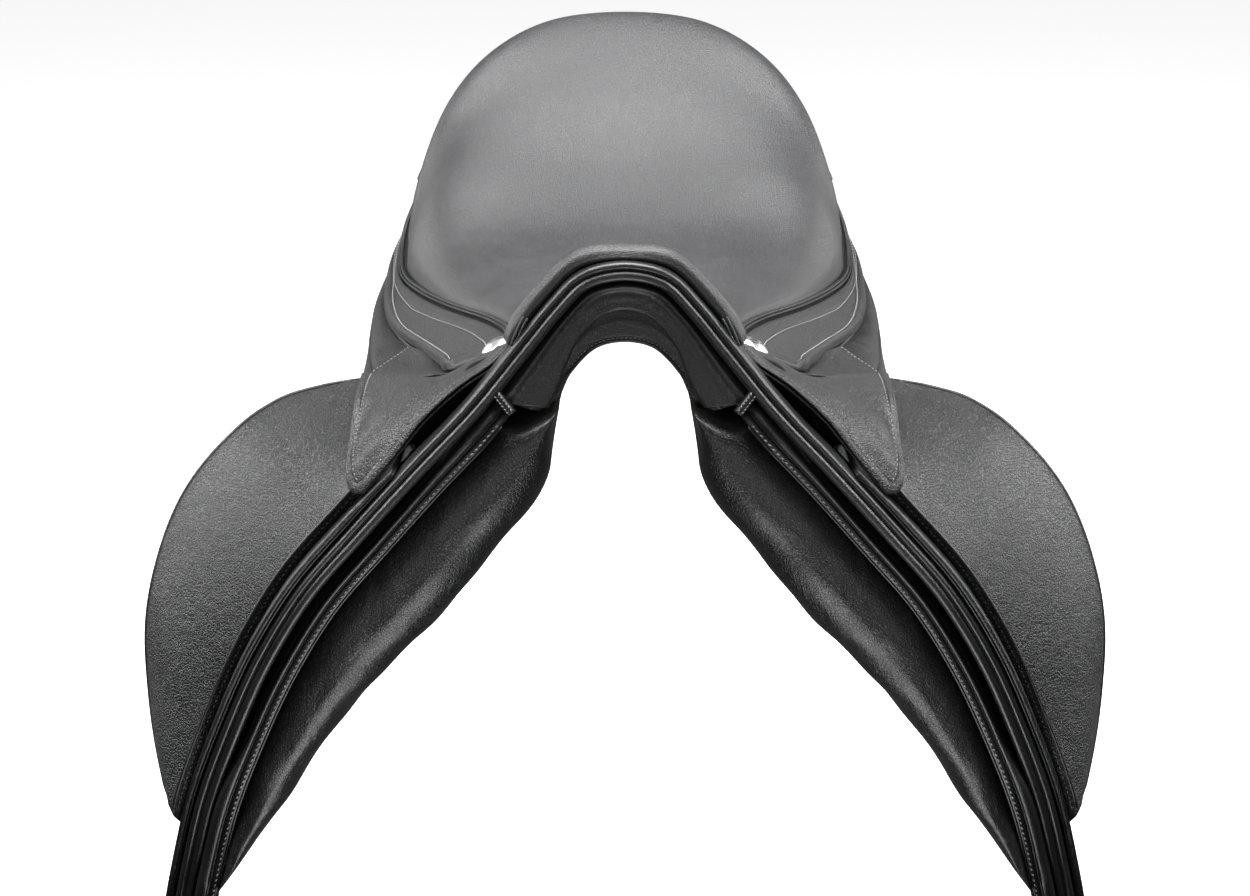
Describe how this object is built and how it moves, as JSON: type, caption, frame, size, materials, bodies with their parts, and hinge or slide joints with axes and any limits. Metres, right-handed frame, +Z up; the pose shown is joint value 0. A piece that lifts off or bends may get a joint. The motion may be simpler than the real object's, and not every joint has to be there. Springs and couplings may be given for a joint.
{
  "type": "english saddle",
  "caption": "Black leather dressage saddle with a deep seat, large outside thigh blocks, rolled flap edges, stuffed panels, folding skirts, stirrup bars and long girth straps.",
  "frame": {"origin": "in the gullet channel on the symmetry plane, half way between pommel front and cantle, 115 mm below the pommel's top", "axes": "+X to the saddle's left side (the right-hand side seen from the front), +Y to the rear, +Z up"},
  "size_m": [0.5752, 0.5003, 0.5974],
  "materials": {
    "seat_leather": "soft matt grained black leather",
    "flap_leather": "smooth satin black bridle leather",
    "panel_leather": "soft black lining leather",
    "wood": "laminated beech, sealed",
    "steel": "satin",
    "web": "woven linen web",
    "foam": "open-cell padding",
    "polished": "polished"
  },
  "bodies": {
    "saddle": {"arch_facing": "panel_leather", "bar_rivet_front_left": "steel", "bar_rivet_front_right": "steel", "bar_rivet_rear_left": "steel", "bar_rivet_rear_right": "steel", "cantle_back": "seat_leather", "girth_web_front": "web", "girth_web_rear": "web", "gullet_lining": "panel_leather", "gullet_plate": "steel", "head_nail_left": "polished", "head_nail_right": "polished", "head_plate": "steel", "panel_left": "panel_leather", "panel_right": "panel_leather", "point_pocket_left": "flap_leather", "point_pocket_right": "flap_leather", "pommel_roll": "flap_leather", "seat_cover": "seat_leather", "seat_foam": "foam", "seat_piping_left": "seat_leather", "seat_piping_right": "seat_leather", "seat_side_left": "seat_leather", "seat_side_right": "seat_leather", "spring_steel_left": "steel", "spring_steel_right": "steel", "stirrup_bar_left": "steel", "stirrup_bar_right": "steel", "sweat_flap_left": "flap_leather", "sweat_flap_right": "flap_leather", "tree_cantle": "wood", "tree_head": "wood", "tree_rail_left": "wood", "tree_rail_right": "wood", "web_long_left": "web", "web_long_right": "web"},
    "flap_left": {"flap_left": "flap_leather", "flap_lining_left": "flap_leather", "block_left": "flap_leather", "keeper_left": "flap_leather"},
    "skirt_left": {"skirt_left": "flap_leather"},
    "billet_front_left": {"billet_front_left": "flap_leather"},
    "billet_rear_left": {"billet_rear_left": "flap_leather"},
    "flap_right": {"flap_right": "flap_leather", "flap_lining_right": "flap_leather", "block_right": "flap_leather", "keeper_right": "flap_leather"},
    "skirt_right": {"skirt_right": "flap_leather"},
    "billet_front_right": {"billet_front_right": "flap_leather"},
    "billet_rear_right": {"billet_rear_right": "flap_leather"}
  },
  "joints": [
    {"name": "flap_lift_left", "type": "hinge", "parent": "saddle", "child": "flap_left", "pos_m": [0.071, -0.212, 0.0455], "axis": [-0.4099, -0.888, 0.2083], "range_deg": [0, 70]},
    {"name": "skirt_lift_left", "type": "hinge", "parent": "saddle", "child": "skirt_left", "pos_m": [0.071, -0.212, 0.0455], "axis": [-0.4099, -0.888, 0.2083], "range_deg": [0, 70]},
    {"name": "billet_front_swing_left", "type": "hinge", "parent": "saddle", "child": "billet_front_left", "pos_m": [0.14056, -0.078, -0.01926], "axis": [0.9443, 0, 0.329], "range_deg": [-6, 6]},
    {"name": "billet_rear_swing_left", "type": "hinge", "parent": "saddle", "child": "billet_rear_left", "pos_m": [0.15152, -0.03, -0.0198], "axis": [0.952, 0, 0.3061], "range_deg": [-6, 6]},
    {"name": "flap_lift_right", "type": "hinge", "parent": "saddle", "child": "flap_right", "pos_m": [-0.071, -0.212, 0.0455], "axis": [-0.4099, 0.888, -0.2083], "range_deg": [0, 70]},
    {"name": "skirt_lift_right", "type": "hinge", "parent": "saddle", "child": "skirt_right", "pos_m": [-0.071, -0.212, 0.0455], "axis": [-0.4099, 0.888, -0.2083], "range_deg": [0, 70]},
    {"name": "billet_front_swing_right", "type": "hinge", "parent": "saddle", "child": "billet_front_right", "pos_m": [-0.14056, -0.078, -0.01926], "axis": [0.9443, 0, -0.329], "range_deg": [-6, 6]},
    {"name": "billet_rear_swing_right", "type": "hinge", "parent": "saddle", "child": "billet_rear_right", "pos_m": [-0.15152, -0.03, -0.0198], "axis": [0.952, 0, -0.3061], "range_deg": [-6, 6]}
  ],
  "couplings": [
    {"joint": "skirt_lift_left", "follows": "flap_lift_left", "ratio": 1},
    {"joint": "billet_rear_swing_left", "follows": "billet_front_swing_left", "ratio": 1},
    {"joint": "skirt_lift_right", "follows": "flap_lift_right", "ratio": 1},
    {"joint": "billet_rear_swing_right", "follows": "billet_front_swing_right", "ratio": 1}
  ]
}
